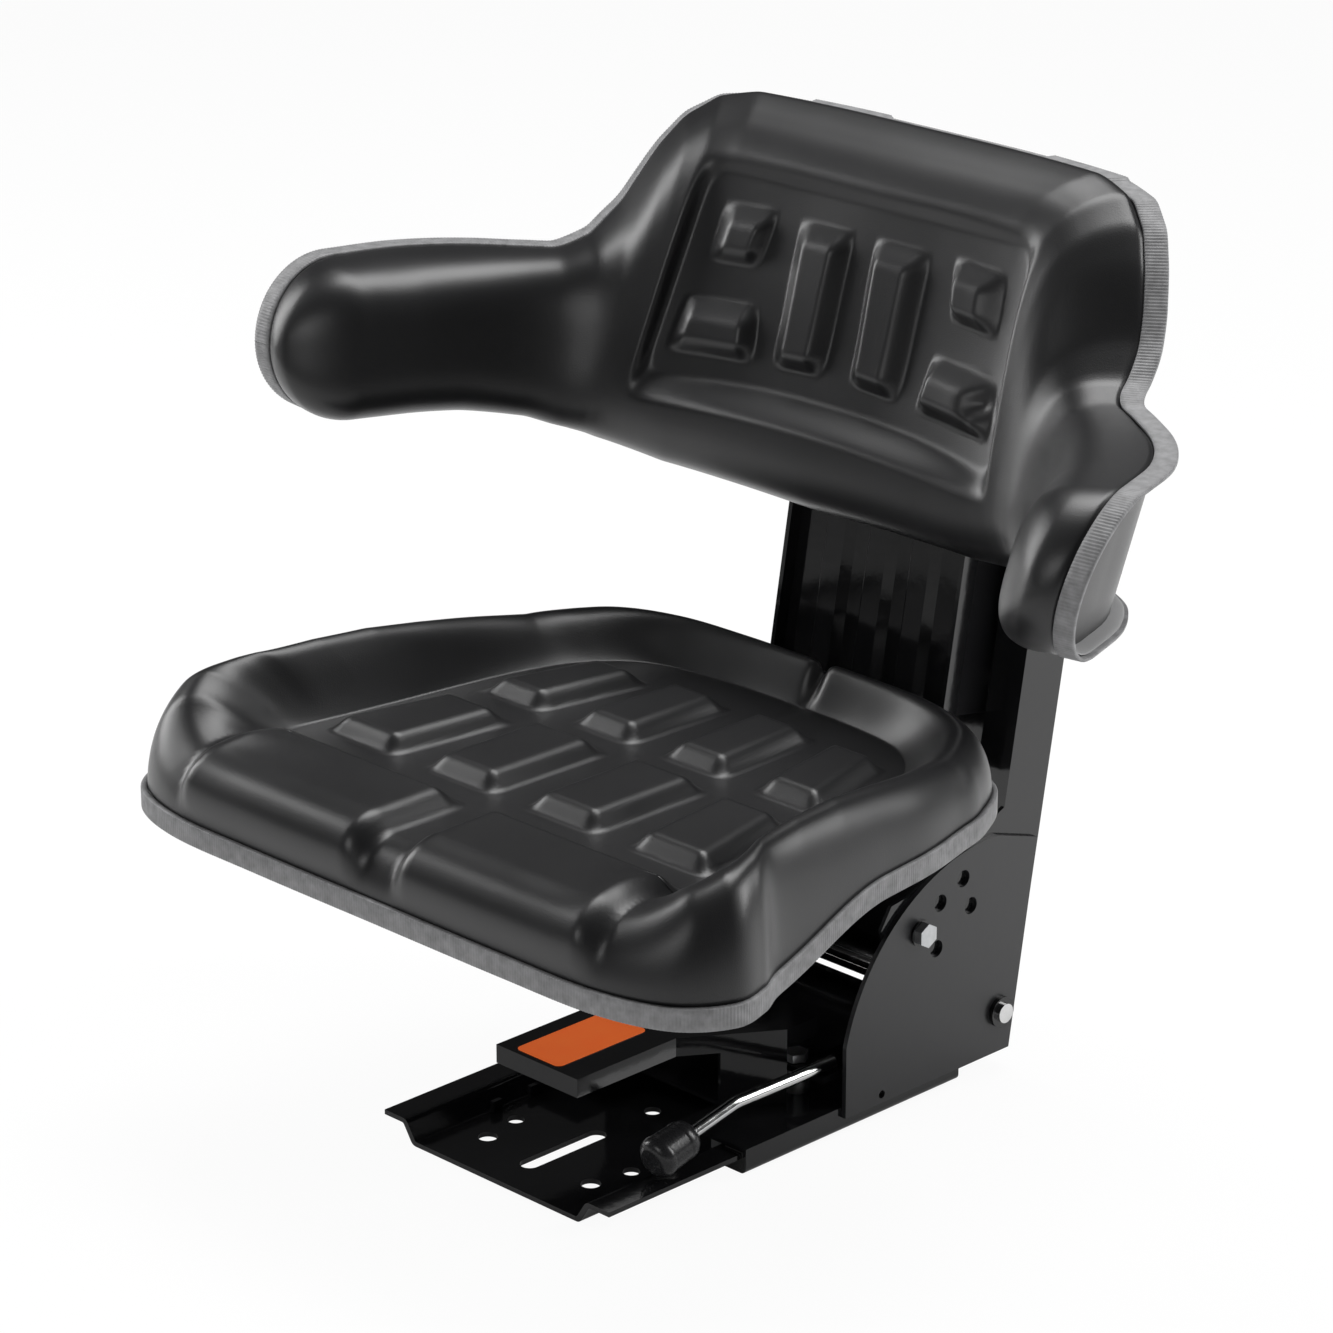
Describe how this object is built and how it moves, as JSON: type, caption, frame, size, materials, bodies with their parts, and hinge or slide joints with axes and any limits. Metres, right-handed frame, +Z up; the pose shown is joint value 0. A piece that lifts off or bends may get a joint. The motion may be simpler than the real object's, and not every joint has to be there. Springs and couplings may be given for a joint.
{
  "type": "tractor seat",
  "caption": "Padded vehicle seat with a wrap-round backrest on a sprung, tilting column that slides fore and aft on a bolt-down base.",
  "frame": {"origin": "middle of the four base mounting holes, on the underside of the base plate", "axes": "+Z up, -Y the way the sitter faces, +X to the right of somebody looking at the back of the seat"},
  "size_m": [0.647, 0.4949, 0.55],
  "materials": {
    "vinyl": "black moulded vinyl with a soft satin sheen",
    "edge_band": "mid-grey finely ribbed edge band",
    "shell_plastic": "black moulded back shell",
    "black_enamel": "gloss black paint",
    "satin_plate": "satin dark grey paint",
    "zinc": "zinc plated, slightly dull",
    "bright_rod": "bright plated steel",
    "spring_steel": "oiled spring steel",
    "knob_plastic": "black moulded knob",
    "nylon": "natural nylon",
    "black_nylon": "black nylon",
    "stop_rubber": "black rubber"
  },
  "bodies": {
    "base": {"base_plate": "black_enamel", "lock_rack": "zinc"},
    "carriage": {"carriage_plate": "black_enamel", "slide_liner_left": "black_nylon", "slide_liner_right": "black_nylon", "side_plate_left": "satin_plate", "side_plate_right": "satin_plate", "pivot_pin": "bright_rod", "pin_clip": "black_enamel", "tilt_bolts": "zinc", "tilt_washers": "black_enamel", "tilt_nuts": "zinc", "tower": "black_enamel", "tower_cap": "black_enamel", "front_tray": "black_enamel", "lever_pivot": "zinc", "bump_stops": "stop_rubber", "rebound_stops": "stop_rubber", "tension_spring_left": "spring_steel", "tension_spring_right": "spring_steel"},
    "slide_lever": {"lever_plate": "black_enamel", "lever_rod": "bright_rod", "lever_knob": "knob_plastic"},
    "seat": {"seat_panel": "black_enamel", "seat_leg": "black_enamel", "pan_rails": "black_enamel", "pan_bolts": "zinc", "seat_pan": "black_enamel", "seat_trim": "edge_band", "seat_cushion": "vinyl", "back_spacer_left": "black_enamel", "back_spacer_right": "black_enamel", "back_bolts": "zinc", "backrest_cushion": "vinyl", "backrest_trim": "edge_band", "backrest_shell": "shell_plastic", "roller_bracket_left": "satin_plate", "roller_bracket_right": "satin_plate", "roller_axles": "zinc", "spring_bar": "zinc"},
    "crosshead": {"crosshead": "zinc"},
    "adjuster": {"adjuster_screw": "zinc", "adjuster_knob": "knob_plastic"},
    "roller_lower_left": {"roller_lower_left": "nylon"},
    "roller_lower_right": {"roller_lower_right": "nylon"},
    "roller_upper_left": {"roller_upper_left": "nylon"},
    "roller_upper_right": {"roller_upper_right": "nylon"}
  },
  "joints": [
    {"name": "fore_aft_slide", "type": "slide", "parent": "base", "child": "carriage", "axis": [0, 1, 0], "range_m": [-0.1, 0.05]},
    {"name": "slide_lever_turn", "type": "hinge", "parent": "carriage", "child": "slide_lever", "pos_m": [0.06, 0.052, 0.035], "axis": [0, 0, 1], "range_deg": [-7, 6], "stiffness_Nm_per_rad": 3},
    {"name": "suspension_travel", "type": "slide", "parent": "carriage", "child": "seat", "axis": [0, 0.1736, 0.9848], "range_m": [-0.052, 0], "stiffness_N_per_m": 15000, "springref_m": 0.03, "deforming": ["tension_spring_left", "tension_spring_right"]},
    {"name": "adjuster_turn", "type": "hinge", "parent": "carriage", "child": "adjuster", "pos_m": [0, 0.24403, 0.38206], "axis": [0, 0.1736, 0.9848], "range_deg": [-1202, 1202]},
    {"name": "crosshead_travel", "type": "slide", "parent": "carriage", "child": "crosshead", "axis": [0, 0.1736, 0.9848], "range_m": [-0.01, 0.01]},
    {"name": "roller_lower_left_turn", "type": "hinge", "parent": "seat", "child": "roller_lower_left", "pos_m": [-0.0835, 0.21746, 0.23138], "axis": [1, 0, 0], "range_deg": [-3, 207]},
    {"name": "roller_lower_right_turn", "type": "hinge", "parent": "seat", "child": "roller_lower_right", "pos_m": [0.0835, 0.21746, 0.23138], "axis": [1, 0, 0], "range_deg": [-3, 207]},
    {"name": "roller_upper_left_turn", "type": "hinge", "parent": "seat", "child": "roller_upper_left", "pos_m": [-0.0835, 0.23725, 0.34365], "axis": [1, 0, 0], "range_deg": [-207, 3]},
    {"name": "roller_upper_right_turn", "type": "hinge", "parent": "seat", "child": "roller_upper_right", "pos_m": [0.0835, 0.23725, 0.34365], "axis": [1, 0, 0], "range_deg": [-207, 3]}
  ],
  "couplings": [
    {"joint": "adjuster_turn", "follows": "crosshead_travel", "rad_per_m": -2094.4},
    {"joint": "roller_lower_left_turn", "follows": "suspension_travel", "rad_per_m": -68.027},
    {"joint": "roller_lower_right_turn", "follows": "suspension_travel", "rad_per_m": -68.027},
    {"joint": "roller_upper_left_turn", "follows": "suspension_travel", "rad_per_m": 68.027},
    {"joint": "roller_upper_right_turn", "follows": "suspension_travel", "rad_per_m": 68.027}
  ]
}
